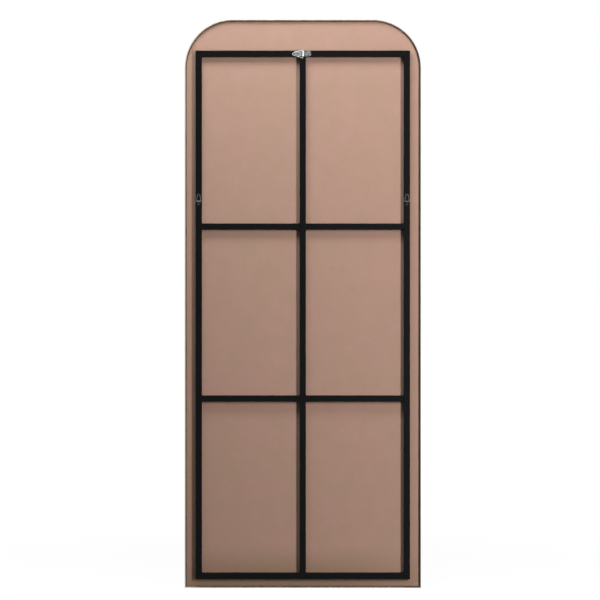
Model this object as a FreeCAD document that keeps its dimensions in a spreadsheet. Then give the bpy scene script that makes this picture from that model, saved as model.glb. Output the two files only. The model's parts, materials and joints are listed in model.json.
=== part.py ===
import FreeCAD
import Part
import Sketcher
import math
import os

# Full-length mirror with rounded upper corners, modelled in millimetres.
# The glass faces -Y, the back with its rail grid and hangers faces +Y, and +Z is up.
# The origin lies under the middle of the frame's bottom edge, half-way through its depth.
# Left and right are named from the front, so right is +X.

SIZES = {
    # outer frame, a metal angle with its lip in front
    "mirror_width": 686.0,
    "mirror_height": 1651.0,
    "corner_radius": 139.0,
    "frame_depth": 28.0,
    "frame_wall": 3.0,
    "lip_width": 10.0,
    "lip_thickness": 3.0,
    "frame_edge_round": 0.8,
    "frame_back_chamfer": 2.0,
    # glass, tapes, blocks and board inside the frame
    "edge_clearance": 1.5,
    "glazing_tape_thickness": 0.8,
    "glazing_tape_width": 4.5,
    "glazing_tape_inset": 0.6,
    "glass_thickness": 4.0,
    "glass_arris": 0.8,
    "bonding_tape_thickness": 1.0,
    "bonding_tape_width": 25.0,
    "bonding_tape_side_margin": 43.0,
    "bonding_tape_end_gap": 21.0,
    "setting_block_length": 60.0,
    "board_thickness": 9.0,
    # grid of square tube on the back of the board
    "rail_side": 18.0,
    "rail_wall": 1.5,
    "rail_corner_radius": 1.6,
    "grid_side_margin": 31.6,
    "grid_bottom_margin": 25.9,
    # countersunk screws through the board into the upright rails
    "rail_screw_shank": 3.9,
    "rail_screw_head": 7.6,
    "rail_screw_length": 14.0,
    "rail_screw_end_margin": 114.5,
    "screw_clearance": 0.1,
    # pan-head screws of the hangers
    "hanger_screw_shank": 3.9,
    "hanger_screw_head": 7.0,
    "hanger_screw_head_height": 2.2,
    "hanger_screw_head_round": 1.2,
    "hanger_screw_length": 8.0,
    # folded strap hangers with upright rings on the side rails
    "strap_sheet": 1.0,
    "strap_fold_gap": 0.2,
    "strap_width": 9.5,
    "strap_length": 13.5,
    "strap_end_radius": 3.0,
    "strap_hole_drop": 7.8,
    "pivot_clearance": 0.08,
    "ring_wire": 2.4,
    "ring_side_play": 0.6,
    "ring_bend_radius": 1.5,
    "ring_apex_radius": 3.6,
    "ring_reach": 20.3,
    "ring_split": 0.4,
    # saddle plate with a folded ring in the middle of the top rail
    "saddle_sheet": 1.2,
    "saddle_length": 48.5,
    "saddle_width": 16.0,
    "saddle_bend_radius": 0.8,
    "saddle_end_radius": 6.5,
    "saddle_hole_offset": 13.5,
    "saddle_ring_wire": 2.6,
    "saddle_ring_lift": 0.3,
    "saddle_ring_play": 3.0,
    "saddle_ring_shoulder_gap": 0.1,
    "saddle_ring_bend_radius": 1.7,
    "saddle_ring_apex_radius": 3.4,
    "saddle_ring_reach": 29.6,
    # every cut runs this far past the face it goes through
    "cut_overrun": 2.0,
}
SHARES = {
    # drop of the grid below the top edge, as a share of the corner radius
    "grid_top_share": 0.6482,
    # heights on the grid, as shares of its own height
    "lower_cross_share": 0.3415,
    "upper_cross_share": 0.667,
    "hanger_share": 0.7147,
    # distance of each setting block from its end of the sill, as a share of the width
    "setting_block_share": 0.25,
}
COUNTERSINK_ANGLE = 90
QUARTER_TURN = 90
BONDING_TAPE_COUNT = 5
RAIL_SCREW_ROWS = 4
RAIL_SCREW_COLUMNS = 3

doc = FreeCAD.newDocument("FullLengthMirror")
sheet = doc.addObject("Spreadsheet::Sheet", "Sizes")
for row, (alias, size) in enumerate((SIZES | SHARES).items(), start=1):
    sheet.set(f"A{row}", alias)
    sheet.set(f"B{row}", str(size))
    sheet.setAlias(f"B{row}", alias)
doc.recompute()

# Places that several pieces share, as expressions over the size sheet
HALF_WIDTH = "Sizes.mirror_width / 2"
FRONT = "-Sizes.frame_depth / 2"
GLASS_FRONT = f"{FRONT} + Sizes.lip_thickness + Sizes.glazing_tape_thickness"
GLASS_BACK = f"{GLASS_FRONT} + Sizes.glass_thickness"
BOARD_FRONT = f"{GLASS_BACK} + Sizes.bonding_tape_thickness"
BOARD_BACK = f"{BOARD_FRONT} + Sizes.board_thickness"
RAIL_MIDDLE = f"{BOARD_BACK} + Sizes.rail_side / 2"
RAIL_BACK = f"{BOARD_BACK} + Sizes.rail_side"
GRID_WIDTH = "(Sizes.mirror_width - 2 * Sizes.grid_side_margin)"
GRID_TOP = "(Sizes.mirror_height - Sizes.grid_top_share * Sizes.corner_radius)"
GRID_HEIGHT = f"({GRID_TOP} - Sizes.grid_bottom_margin)"
GRID_MIDDLE = f"({GRID_TOP} + Sizes.grid_bottom_margin) / 2"
SIDE_RAIL_X = f"({GRID_WIDTH} - Sizes.rail_side) / 2"
TOP_RAIL_Z = f"({GRID_TOP} - Sizes.rail_side / 2)"
BOTTOM_RAIL_Z = "(Sizes.grid_bottom_margin + Sizes.rail_side / 2)"
RAIL_SCREW_PITCH = f"({GRID_HEIGHT} - 2 * Sizes.rail_screw_end_margin) / {RAIL_SCREW_ROWS - 1}"
RAIL_SCREW_BASE = "(Sizes.grid_bottom_margin + Sizes.rail_screw_end_margin)"
RAIL_SCREW_BORE = "Sizes.rail_screw_shank + 2 * Sizes.screw_clearance"
HANGER_SCREW_BORE = "Sizes.hanger_screw_shank + 2 * Sizes.screw_clearance"
HANGER_Z = f"(Sizes.grid_bottom_margin + Sizes.hanger_share * {GRID_HEIGHT})"
PANE_INSET = "Sizes.frame_wall + Sizes.edge_clearance"
STRAP_BORE = "(Sizes.ring_wire / 2 + Sizes.pivot_clearance)"
STRAP_AXIS_LIFT = f"(Sizes.strap_sheet + {STRAP_BORE})"
STRAP_THICKNESS = "(2 * Sizes.strap_sheet + Sizes.strap_fold_gap)"
SADDLE_BORE = "(Sizes.saddle_ring_wire / 2 + Sizes.pivot_clearance)"
SADDLE_AXIS_LIFT = "(Sizes.saddle_sheet + Sizes.saddle_ring_wire / 2 + Sizes.saddle_ring_lift)"
SADDLE_RING_DROP = "(Sizes.saddle_ring_play / 2 - Sizes.saddle_ring_shoulder_gap)"

pieces = []


def number(expression):
    """The value of an expression over the size sheet."""
    return float(sheet.evalExpression(expression))


def new_body(label):
    """An empty piece, listed for export under its label."""
    body = doc.addObject("PartDesign::Body", label)
    body.Label = label
    pieces.append(body)
    return body


def place(body, x="0", y="0", z="0"):
    """Put a piece's own origin at a point of the mirror."""
    for axis, expression in (("x", x), ("y", y), ("z", z)):
        body.setExpression(f".Placement.Base.{axis}", expression)


def origin_feature(body, role):
    """One of the piece's own reference planes or axes."""
    return next(item for item in body.Origin.OriginFeatures if item.Role == role)


def new_sketch(body, name, plane):
    """A sketch on one of the piece's reference planes."""
    sketch = body.newObject("Sketcher::SketchObject", f"{body.Name}_{name}")
    sketch.AttachmentSupport = [(origin_feature(body, plane), "")]
    sketch.MapMode = "FlatFace"
    return sketch


def pin(sketch, geometry, end, x, y):
    """Hold a sketch point at a pair of expressions."""
    for kind, expression, axis in (("DistanceX", x, -2), ("DistanceY", y, -1)):
        if expression == "0":
            sketch.addConstraint(Sketcher.Constraint("PointOnObject", geometry, end, axis))
        elif expression is not None:
            index = sketch.addConstraint(Sketcher.Constraint(kind, geometry, end, number(expression)))
            sketch.setExpression(f"Constraints[{index}]", expression)


def sketch_point(pair):
    """A sketch point from a pair of expressions."""
    return FreeCAD.Vector(number(pair[0]), number(pair[1]), 0)


def add_arc(sketch, start, end, centre, turn):
    """An arc from start to end about centre; gives its index and which of its ends comes first."""
    first, last = (start, end) if turn == "left" else (end, start)
    angles = [math.atan2(point.y - centre.y, point.x - centre.x) for point in (first, last)]
    circle = Part.Circle(centre, FreeCAD.Vector(0, 0, 1), (start - centre).Length)
    index = sketch.addGeometry(Part.ArcOfCircle(circle, angles[0], angles[1]))
    return index, (1, 2) if turn == "left" else (2, 1)


def add_outline(sketch, points, arcs=None):
    """A closed outline through points; arcs gives the centre and turn of the round stretches."""
    arcs = arcs or {}
    corners = [sketch_point(pair) for pair in points]
    stretches = []
    for i, start in enumerate(corners):
        end = corners[(i + 1) % len(corners)]
        if i in arcs:
            centre, turn = arcs[i]
            index, ends = add_arc(sketch, start, end, sketch_point(centre), turn)
            across = abs(end.x - start.x) < abs(end.y - start.y)
            pinned = (centre[0], None) if across else (None, centre[1])
            stretches.append((index, ends, pinned))
        else:
            index = sketch.addGeometry(Part.LineSegment(start, end))
            stretches.append((index, (1, 2), None))
    for i, (index, ends, _) in enumerate(stretches):
        after, after_ends, _ = stretches[(i + 1) % len(stretches)]
        sketch.addConstraint(Sketcher.Constraint("Coincident", index, ends[1], after, after_ends[0]))
    for (x, y), (index, ends, pinned) in zip(points, stretches):
        pin(sketch, index, ends[0], x, y)
        if pinned:
            pin(sketch, index, 3, *pinned)


def add_box(sketch, left, right, low, high):
    """A rectangle between expressions."""
    add_outline(sketch, [(left, low), (right, low), (right, high), (left, high)])


def add_circle(sketch, x, y, diameter):
    """A circle at a pair of expressions."""
    place_at = sketch_point((x, y))
    circle = Part.Circle(place_at, FreeCAD.Vector(0, 0, 1), number(diameter) / 2)
    index = sketch.addGeometry(circle)
    pin(sketch, index, 3, x, y)
    size = sketch.addConstraint(Sketcher.Constraint("Diameter", index, number(diameter)))
    sketch.setExpression(f"Constraints[{size}]", diameter)


def extrude(body, kind, sketch, length, back=False, midplane=False):
    """A pad or pocket of a sketch over a length."""
    feature = body.newObject(f"PartDesign::{kind}", f"{sketch.Name}_{kind.lower()}")
    feature.Profile = sketch
    feature.setExpression("Length", length)
    feature.Reversed = back
    if midplane:
        feature.SideType = "Symmetric"
    doc.recompute()
    return feature


def round_edges(body, base, kind, wanted, size):
    """Fillet or chamfer the edges of a feature that a test picks out."""
    names = [f"Edge{i}" for i, edge in enumerate(base.Shape.Edges, start=1) if wanted(edge)]
    feature = body.newObject(f"PartDesign::{kind}", f"{base.Name}_{kind.lower()}")
    feature.Base = (base, names)
    feature.setExpression("Radius" if kind == "Fillet" else "Size", size)
    doc.recompute()
    return feature


def lies(vertex, axis, *places):
    """Whether one coordinate of a vertex has one of the given values."""
    at = getattr(vertex.Point, axis)
    return any(math.isclose(at, spot, abs_tol=Part.Precision.approximation()) for spot in places)


def edge_lies(edge, axis, place):
    """Whether both ends of an edge lie where one coordinate has a value."""
    return all(lies(vertex, axis, place) for vertex in edge.Vertexes)


def arch(inset):
    """Outline of the mirror drawn in by an inset: square below, with rounded upper corners."""
    side = f"{HALF_WIDTH} - ({inset})"
    bend = f"{HALF_WIDTH} - Sizes.corner_radius"
    shoulder = "Sizes.mirror_height - Sizes.corner_radius"
    top = f"Sizes.mirror_height - ({inset})"
    points = [
        (f"-({side})", f"{inset}"),
        (f"{side}", f"{inset}"),
        (f"{side}", shoulder),
        (bend, top),
        (f"-({bend})", top),
        (f"-({side})", shoulder),
    ]
    arcs = {2: ((bend, shoulder), "left"), 4: ((f"-({bend})", shoulder), "left")}
    return points, arcs


def hoop_outline(width):
    """One leg of the bent angle: sides and rounded top, mitred at both feet."""
    outer, _ = arch("0")
    inner, _ = arch(width)
    bend, shoulder = outer[3][0], outer[2][1]
    points = [outer[1], outer[2], outer[3], outer[4], outer[5], outer[0]]
    points += [inner[0], inner[5], inner[4], inner[3], inner[2], inner[1]]
    right, left = (bend, shoulder), (f"-({bend})", shoulder)
    arcs = {1: (right, "left"), 3: (left, "left"), 7: (left, "right"), 9: (right, "right")}
    return points, arcs


def sill_outline(width):
    """One leg of the straight angle: a long trapezoid with mitred ends."""
    outer, _ = arch("0")
    inner, _ = arch(width)
    return [outer[0], outer[1], inner[1], inner[0]], {}


def make_frame(label, outline):
    """An angle with its lip in front and its wall running back."""
    body = new_body(label)
    place(body, y=FRONT)
    for leg, width, depth in (
        ("lip", "Sizes.lip_width", "Sizes.lip_thickness"),
        ("wall", "Sizes.frame_wall", "Sizes.frame_depth"),
    ):
        sketch = new_sketch(body, leg, "XZ_Plane")
        add_outline(sketch, *outline(width))
        base = extrude(body, "Pad", sketch, depth, back=True)
    def runs_along(edge, inset, depth):
        """Whether an edge follows the frame's outline, drawn in by an inset, at a depth."""
        side = number(f"{HALF_WIDTH} - {inset}")
        top = number(f"Sizes.mirror_height - {inset}")
        low = number(inset)
        beside = all(lies(end, "x", -side, side) or lies(end, "z", low, top) for end in edge.Vertexes)
        return beside and edge_lies(edge, "y", number(depth))

    def outer_front(edge):
        """Edges round the outside of the front face."""
        return runs_along(edge, "0", "0")

    def inner_back(edge):
        """Edges round the inside of the back face."""
        return runs_along(edge, "Sizes.frame_wall", "Sizes.frame_depth")

    base = round_edges(body, base, "Fillet", outer_front, "Sizes.frame_edge_round")
    round_edges(body, base, "Chamfer", inner_back, "Sizes.frame_back_chamfer")


def make_pane(label, front, thickness):
    """A flat pane with the mirror's outline, held off the frame by the edge clearance."""
    body = new_body(label)
    place(body, y=front)
    sketch = new_sketch(body, "outline", "XZ_Plane")
    add_outline(sketch, *arch(PANE_INSET))
    return body, extrude(body, "Pad", sketch, thickness, back=True)


def make_glass():
    """Silvered pane with ground edges."""
    body, pane = make_pane("mirror_glass", GLASS_FRONT, "Sizes.glass_thickness")
    back = number("Sizes.glass_thickness")

    def face_edge(edge):
        """Edges round the pane's two faces."""
        return edge_lies(edge, "y", 0) or edge_lies(edge, "y", back)

    round_edges(body, pane, "Chamfer", face_edge, "Sizes.glass_arris")


def screw_places():
    """Places of the rail screws, column by column."""
    for column in range(RAIL_SCREW_COLUMNS):
        for line in range(RAIL_SCREW_ROWS):
            x = f"{column - 1} * {SIDE_RAIL_X}"
            z = f"{RAIL_SCREW_BASE} + {line} * {RAIL_SCREW_PITCH}"
            yield "0" if column == 1 else x, z


def make_board():
    """Fibreboard back with countersunk holes in its hidden front."""
    body, _ = make_pane("backing_board", BOARD_FRONT, "Sizes.board_thickness")
    sketch = new_sketch(body, "screw_places", "XZ_Plane")
    for x, z in screw_places():
        add_circle(sketch, x, z, RAIL_SCREW_BORE)
    doc.recompute()
    hole = body.newObject("PartDesign::Hole", "backing_board_holes")
    hole.Profile = sketch
    hole.DepthType = "ThroughAll"
    hole.setExpression("Diameter", RAIL_SCREW_BORE)
    hole.HoleCutType = "Countersink"
    hole.HoleCutCustomValues = True
    hole.setExpression("HoleCutDiameter", "Sizes.rail_screw_head + 2 * Sizes.screw_clearance")
    hole.HoleCutCountersinkAngle = COUNTERSINK_ANGLE
    doc.recompute()


def make_glazing_tape():
    """Foam tape on the back of the lip, one closed run."""
    body = new_body("glazing_tape")
    place(body, y=f"{FRONT} + Sizes.lip_thickness")
    sketch = new_sketch(body, "run", "XZ_Plane")
    inner = "Sizes.lip_width - Sizes.glazing_tape_inset"
    add_outline(sketch, *arch(f"{inner} - Sizes.glazing_tape_width"))
    add_outline(sketch, *arch(inner))
    extrude(body, "Pad", sketch, "Sizes.glazing_tape_thickness", back=True)


def make_bonding_tape():
    """Upright foam tape strips between glass and board."""
    body = new_body("bonding_tape")
    place(body, y=GLASS_BACK)
    sketch = new_sketch(body, "strips", "XZ_Plane")
    half = "Sizes.bonding_tape_width / 2"
    gaps = BONDING_TAPE_COUNT - 1
    pitch = f"(Sizes.mirror_width - 2 * Sizes.bonding_tape_side_margin) / {gaps}"
    low = "Sizes.corner_radius + Sizes.bonding_tape_end_gap"
    high = f"Sizes.mirror_height - ({low})"
    for strip in range(BONDING_TAPE_COUNT):
        middle = f"{strip - gaps / 2} * {pitch}"
        add_box(sketch, f"{middle} - {half}", f"{middle} + {half}", low, high)
    extrude(body, "Pad", sketch, "Sizes.bonding_tape_thickness", back=True)


def make_setting_blocks():
    """Two rubber blocks on the sill that the glass and the board stand on."""
    body = new_body("setting_blocks")
    place(body, y=GLASS_FRONT)
    sketch = new_sketch(body, "blocks", "XZ_Plane")
    half = "Sizes.setting_block_length / 2"
    for side in (-1, 1):
        middle = f"{side} * ({HALF_WIDTH} - Sizes.setting_block_share * Sizes.mirror_width)"
        add_box(sketch, f"{middle} - {half}", f"{middle} + {half}", "Sizes.frame_wall", PANE_INSET)
    depth = "Sizes.glass_thickness + Sizes.bonding_tape_thickness + Sizes.board_thickness"
    extrude(body, "Pad", sketch, depth, back=True)


def add_tube_section(sketch):
    """Square tube section with rounded outer corners."""
    side = "Sizes.rail_side / 2"
    flat = "Sizes.rail_side / 2 - Sizes.rail_corner_radius"
    bore = "(Sizes.rail_side / 2 - Sizes.rail_wall)"
    points = []
    arcs = {}
    for x_sign, y_sign in ((1, -1), (1, 1), (-1, 1), (-1, -1)):
        near_x, far_x = f"{x_sign} * ({flat})", f"{x_sign} * {side}"
        near_y, far_y = f"{y_sign} * ({flat})", f"{y_sign} * {side}"
        corner = [(near_x, far_y), (far_x, near_y)]
        if x_sign == y_sign:
            corner.reverse()
        arcs[len(points)] = ((near_x, near_y), "left")
        points += corner
    add_outline(sketch, points, arcs)
    add_box(sketch, f"-{bore}", bore, f"-{bore}", bore)


def make_tube(label, plane, length, x, z):
    """A length of tube, upright or level, about its own middle."""
    body = new_body(label)
    place(body, x=x, y=RAIL_MIDDLE, z=z)
    sketch = new_sketch(body, "section", plane)
    add_tube_section(sketch)
    extrude(body, "Pad", sketch, length, midplane=True)
    return body


def drill(body, name, holes, diameter, to_back):
    """Round holes through one wall of a tube, towards the back or the front."""
    sketch = new_sketch(body, name, "XZ_Plane")
    for x, z in holes:
        add_circle(sketch, x, z, diameter)
    extrude(body, "Pocket", sketch, "Sizes.rail_side / 2 + Sizes.cut_overrun", back=not to_back)


def drill_for_board(body):
    """Holes in the front wall of an upright rail for the screws through the board."""
    holes = [("0", f"{z} - {GRID_MIDDLE}") for x, z in screw_places() if x == "0"]
    drill(body, "board_holes", holes, RAIL_SCREW_BORE, to_back=False)


def mitre(body, corners):
    """Cut the ends of a tube off on 45 degree lines, one triangle for each end."""
    sketch = new_sketch(body, "mitres", "XZ_Plane")
    for corner in corners:
        add_outline(sketch, corner)
    depth = "Sizes.rail_side + 2 * Sizes.cut_overrun"
    extrude(body, "Pocket", sketch, depth, midplane=True)


def make_side_rail(label, side):
    """Upright outer rail, mitred at both ends, drilled for the board and for its hanger."""
    body = make_tube(label, "XY_Plane", GRID_HEIGHT, f"{side} * {SIDE_RAIL_X}", GRID_MIDDLE)
    near = f"{-side} * (Sizes.rail_side / 2 + Sizes.cut_overrun)"
    far = f"{side} * (Sizes.rail_side / 2 + Sizes.cut_overrun)"
    corners = []
    for end in (-1, 1):
        past = f"{end} * ({GRID_HEIGHT} / 2 + Sizes.cut_overrun)"
        inner = f"{end} * ({GRID_HEIGHT} / 2 - Sizes.rail_side - Sizes.cut_overrun)"
        corners.append([(near, past), (far, past), (near, inner)])
    mitre(body, corners)
    drill_for_board(body)
    hanger_hole = f"{HANGER_Z} - Sizes.strap_hole_drop - {GRID_MIDDLE}"
    drill(body, "hanger_hole", [("0", hanger_hole)], HANGER_SCREW_BORE, to_back=True)


def make_end_rail(label, end, height):
    """Level outer rail, mitred at both ends; gives the piece for further holes."""
    body = make_tube(label, "YZ_Plane", GRID_WIDTH, "0", height)
    near = f"{-end} * (Sizes.rail_side / 2 + Sizes.cut_overrun)"
    far = f"{end} * (Sizes.rail_side / 2 + Sizes.cut_overrun)"
    corners = []
    for side in (-1, 1):
        past = f"{side} * ({GRID_WIDTH} / 2 + Sizes.cut_overrun)"
        inner = f"{side} * ({GRID_WIDTH} / 2 - Sizes.rail_side - Sizes.cut_overrun)"
        corners.append([(past, near), (past, far), (inner, near)])
    mitre(body, corners)
    return body


def make_top_rail():
    """Top rail, drilled for the saddle plate."""
    body = make_end_rail("top_rail", 1, TOP_RAIL_Z)
    holes = [(f"{side} * Sizes.saddle_hole_offset", "0") for side in (-1, 1)]
    drill(body, "saddle_holes", holes, HANGER_SCREW_BORE, to_back=True)


def make_centre_rail():
    """Upright middle rail, butted between the top and bottom rails."""
    length = f"{GRID_HEIGHT} - 2 * Sizes.rail_side"
    body = make_tube("centre_rail", "XY_Plane", length, "0", GRID_MIDDLE)
    drill_for_board(body)


def make_cross_rails():
    """Short level rails, butted between the side rails and the centre rail."""
    length = f"{SIDE_RAIL_X} - Sizes.rail_side"
    for level in ("upper", "lower"):
        height = f"Sizes.grid_bottom_margin + Sizes.{level}_cross_share * {GRID_HEIGHT}"
        for name, side in (("left", -1), ("right", 1)):
            make_tube(f"cross_rail_{level}_{name}", "YZ_Plane", length, f"{side} * {SIDE_RAIL_X} / 2", height)


def make_rail_screws():
    """Countersunk screws, flush with the front of the board."""
    body = new_body("rail_screws")
    place(body, x=f"-{SIDE_RAIL_X}", y=BOARD_FRONT, z=RAIL_SCREW_BASE)
    sketch = new_sketch(body, "profile", "XY_Plane")
    head, shank = "Sizes.rail_screw_head / 2", "Sizes.rail_screw_shank / 2"
    sunk = f"({head} - {shank}) / tan({COUNTERSINK_ANGLE / 2})"
    end = "Sizes.rail_screw_length"
    tip = f"{end} - {shank}"
    add_outline(sketch, [("0", "0"), (head, "0"), (shank, sunk), (shank, tip), ("0", end)])
    screw = body.newObject("PartDesign::Revolution", "rail_screws_turned")
    screw.Profile = sketch
    screw.ReferenceAxis = (sketch, ["V_Axis"])
    doc.recompute()
    grid = body.newObject("PartDesign::LinearPattern", "rail_screws_grid")
    grid.Originals = [screw]
    grid.Direction = (origin_feature(body, "X_Axis"), [""])
    grid.Occurrences = RAIL_SCREW_COLUMNS
    grid.setExpression("Length", f"{RAIL_SCREW_COLUMNS - 1} * {SIDE_RAIL_X}")
    grid.Direction2 = (origin_feature(body, "Z_Axis"), [""])
    grid.Occurrences2 = RAIL_SCREW_ROWS
    grid.setExpression("Length2", f"{RAIL_SCREW_ROWS - 1} * {RAIL_SCREW_PITCH}")
    body.Tip = grid
    doc.recompute()


def make_pan_screws(label, x, y, z, spacing=None):
    """Pan-head screws driven in from the back, their heads seated at y."""
    body = new_body(label)
    place(body, x=x, y=y, z=z)
    sketch = new_sketch(body, "profile", "XY_Plane")
    head, shank = "Sizes.hanger_screw_head / 2", "Sizes.hanger_screw_shank / 2"
    top, crown = "Sizes.hanger_screw_head_height", "Sizes.hanger_screw_head_round"
    end = "-Sizes.hanger_screw_length"
    tip = f"{end} + {shank}"
    points = [("0", end), (shank, tip), (shank, "0"), (head, "0"), (head, f"{top} - {crown}")]
    points += [(f"{head} - {crown}", top), ("0", top)]
    add_outline(sketch, points, {4: ((f"{head} - {crown}", f"{top} - {crown}"), "left")})
    screw = body.newObject("PartDesign::Revolution", f"{label}_turned")
    screw.Profile = sketch
    screw.ReferenceAxis = (sketch, ["V_Axis"])
    doc.recompute()
    if spacing:
        pair = body.newObject("PartDesign::LinearPattern", f"{label}_pair")
        pair.Originals = [screw]
        pair.Direction = (origin_feature(body, "X_Axis"), [""])
        pair.Occurrences = 2
        pair.setExpression("Length", spacing)
        body.Tip = pair
        doc.recompute()


def make_strap(label, side):
    """Strip folded round the ring's straight leg, both leaves held flat by one screw."""
    body = new_body(label)
    place(body, x=f"{side} * {SIDE_RAIL_X}", y=RAIL_BACK, z=HANGER_Z)
    sketch = new_sketch(body, "fold", "YZ_Plane")
    sheet_top = "Sizes.strap_sheet"
    leaf = f"{sheet_top} + Sizes.strap_fold_gap"
    end = "-Sizes.strap_length"
    outer = STRAP_AXIS_LIFT
    outer_meets = f"-sqrt({outer} ^ 2 - ({STRAP_THICKNESS} - {outer}) ^ 2)"
    bore_meets = f"-sqrt({STRAP_BORE} ^ 2 - ({leaf} - {outer}) ^ 2)"
    points = [
        ("0", end),
        (sheet_top, end),
        (sheet_top, "0"),
        (leaf, bore_meets),
        (leaf, end),
        (STRAP_THICKNESS, end),
        (STRAP_THICKNESS, outer_meets),
        ("0", "0"),
    ]
    axis = (outer, "0")
    add_outline(sketch, points, {2: (axis, "right"), 6: (axis, "left")})
    strap = extrude(body, "Pad", sketch, "Sizes.strap_width", midplane=True)
    low = number(end)
    flank = number("Sizes.strap_width / 2")

    def end_corner(edge):
        """The corners of both leaves at the strap's free end."""
        along = edge_lies(edge, "x", -flank) or edge_lies(edge, "x", flank)
        return along and edge_lies(edge, "z", low)

    round_edges(body, strap, "Fillet", end_corner, "Sizes.strap_end_radius")
    sketch = new_sketch(body, "hole", "XZ_Plane")
    add_circle(sketch, "0", "-Sizes.strap_hole_drop", HANGER_SCREW_BORE)
    extrude(body, "Pocket", sketch, f"{STRAP_THICKNESS} + Sizes.cut_overrun")


def make_saddle_plate():
    """Strip raised into a saddle over the ring's straight leg, with a screwed wing on each side."""
    body = new_body("saddle_plate")
    place(body, y=RAIL_BACK, z=TOP_RAIL_Z)
    sketch = new_sketch(body, "fold", "XY_Plane")
    wing, top = "Sizes.saddle_length / 2", "Sizes.saddle_sheet"
    bend = "Sizes.saddle_bend_radius"
    outer = f"({SADDLE_BORE} + Sizes.saddle_sheet)"
    foot, shoulder = f"({outer} + {bend})", f"({top} + {bend})"
    axis = ("0", SADDLE_AXIS_LIFT)
    right, left = (foot, shoulder), (f"-{foot}", shoulder)
    points = [
        (wing, "0"),
        (wing, top),
        (foot, top),
        (outer, shoulder),
        (outer, SADDLE_AXIS_LIFT),
        (f"-{outer}", SADDLE_AXIS_LIFT),
        (f"-{outer}", shoulder),
        (f"-{foot}", top),
        (f"-{wing}", top),
        (f"-{wing}", "0"),
        (f"-{foot}", "0"),
        (f"-{SADDLE_BORE}", shoulder),
        (f"-{SADDLE_BORE}", SADDLE_AXIS_LIFT),
        (SADDLE_BORE, SADDLE_AXIS_LIFT),
        (SADDLE_BORE, shoulder),
        (foot, "0"),
    ]
    arcs = {
        2: (right, "right"),
        4: (axis, "left"),
        6: (left, "right"),
        10: (left, "left"),
        12: (axis, "right"),
        14: (right, "left"),
    }
    add_outline(sketch, points, arcs)
    plate = extrude(body, "Pad", sketch, "Sizes.saddle_width", midplane=True)
    reach = number(wing)
    flank = number("Sizes.saddle_width / 2")

    def wing_corner(edge):
        """The four corners of the wings, through the sheet."""
        along = edge_lies(edge, "z", -flank) or edge_lies(edge, "z", flank)
        return along and (edge_lies(edge, "x", -reach) or edge_lies(edge, "x", reach))

    round_edges(body, plate, "Fillet", wing_corner, "Sizes.saddle_end_radius")
    sketch = new_sketch(body, "holes", "XZ_Plane")
    for side in (-1, 1):
        add_circle(sketch, f"{side} * Sizes.saddle_hole_offset", "0", HANGER_SCREW_BORE)
    extrude(body, "Pocket", sketch, "Sizes.saddle_sheet + Sizes.cut_overrun")


def ring_path(leg, bend, apex, reach, split):
    """Corner points of a bent wire ring: leg on the X axis, rounded apex up on the Z axis."""
    corner = FreeCAD.Vector(leg / 2, bend, 0)
    crown = FreeCAD.Vector(0, reach - apex, 0)
    across = crown - corner
    tilt = math.atan2(across.y, across.x) - math.acos((bend - apex) / across.Length)
    outward = FreeCAD.Vector(math.cos(tilt), math.sin(tilt), 0)
    arm = (corner + outward * bend, crown + outward * apex)
    return corner, crown, arm, FreeCAD.Vector(-split, 0, 0)


def make_ring(label, leg, bend, apex, reach, wire, split):
    """A wire bent into a three-sided ring, its two ends meeting in the middle of the leg."""
    body = new_body(label)
    path = new_sketch(body, "path", "XZ_Plane")
    sizes = [number(size) for size in (leg, bend, apex, reach, split)]
    corner, crown, arm, last = ring_path(*sizes)
    mirrored = [FreeCAD.Vector(-point.x, point.y, 0) for point in (corner, *arm)]
    start = FreeCAD.Vector(0, 0, 0)
    foot = FreeCAD.Vector(corner.x, 0, 0)
    lines = [(start, foot), arm, (mirrored[2], mirrored[1]), (FreeCAD.Vector(-foot.x, 0, 0), last)]
    lines = [path.addGeometry(Part.LineSegment(*ends)) for ends in lines]
    bends = [
        add_arc(path, foot, arm[0], corner, "left")[0],
        add_arc(path, arm[1], mirrored[2], crown, "left")[0],
        add_arc(path, mirrored[1], FreeCAD.Vector(-foot.x, 0, 0), mirrored[0], "left")[0],
    ]
    order = [lines[0], bends[0], lines[1], bends[1], lines[2], bends[2], lines[3]]
    for before, after in zip(order, order[1:]):
        path.addConstraint(Sketcher.Constraint("Tangent", before, 2, after, 1))
    pin(path, lines[0], 1, "0", "0")
    pin(path, lines[0], 2, f"({leg}) / 2", "0")
    pin(path, lines[3], 1, f"-({leg}) / 2", None)
    pin(path, lines[3], 2, f"-({split})", "0")
    pin(path, bends[1], 3, "0", f"({reach}) - ({apex})")
    for index, size in ((bends[0], bend), (bends[1], apex), (bends[2], bend)):
        fixed = path.addConstraint(Sketcher.Constraint("Radius", index, number(size)))
        path.setExpression(f"Constraints[{fixed}]", size)
    section = new_sketch(body, "section", "YZ_Plane")
    add_circle(section, "0", "0", wire)
    doc.recompute()
    pipe = body.newObject("PartDesign::AdditivePipe", f"{label}_wire")
    pipe.Profile = section
    pipe.Spine = (path, [f"Edge{i}" for i in range(1, len(order) + 1)])
    doc.recompute()
    return body


def make_hanger(name, side):
    """Strap, ring and screw on one side rail."""
    x = f"{side} * {SIDE_RAIL_X}"
    make_strap(f"hanger_strap_{name}", side)
    ring = make_ring(
        f"hanger_ring_{name}",
        "Sizes.strap_width + Sizes.ring_side_play",
        "Sizes.ring_bend_radius",
        "Sizes.ring_apex_radius",
        "Sizes.ring_reach",
        "Sizes.ring_wire",
        "Sizes.ring_split",
    )
    place(ring, x=x, y=f"{RAIL_BACK} + {STRAP_AXIS_LIFT}", z=HANGER_Z)
    seat = f"{RAIL_BACK} + {STRAP_THICKNESS}"
    make_pan_screws(f"hanger_screw_{name}", x, seat, f"{HANGER_Z} - Sizes.strap_hole_drop")


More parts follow.
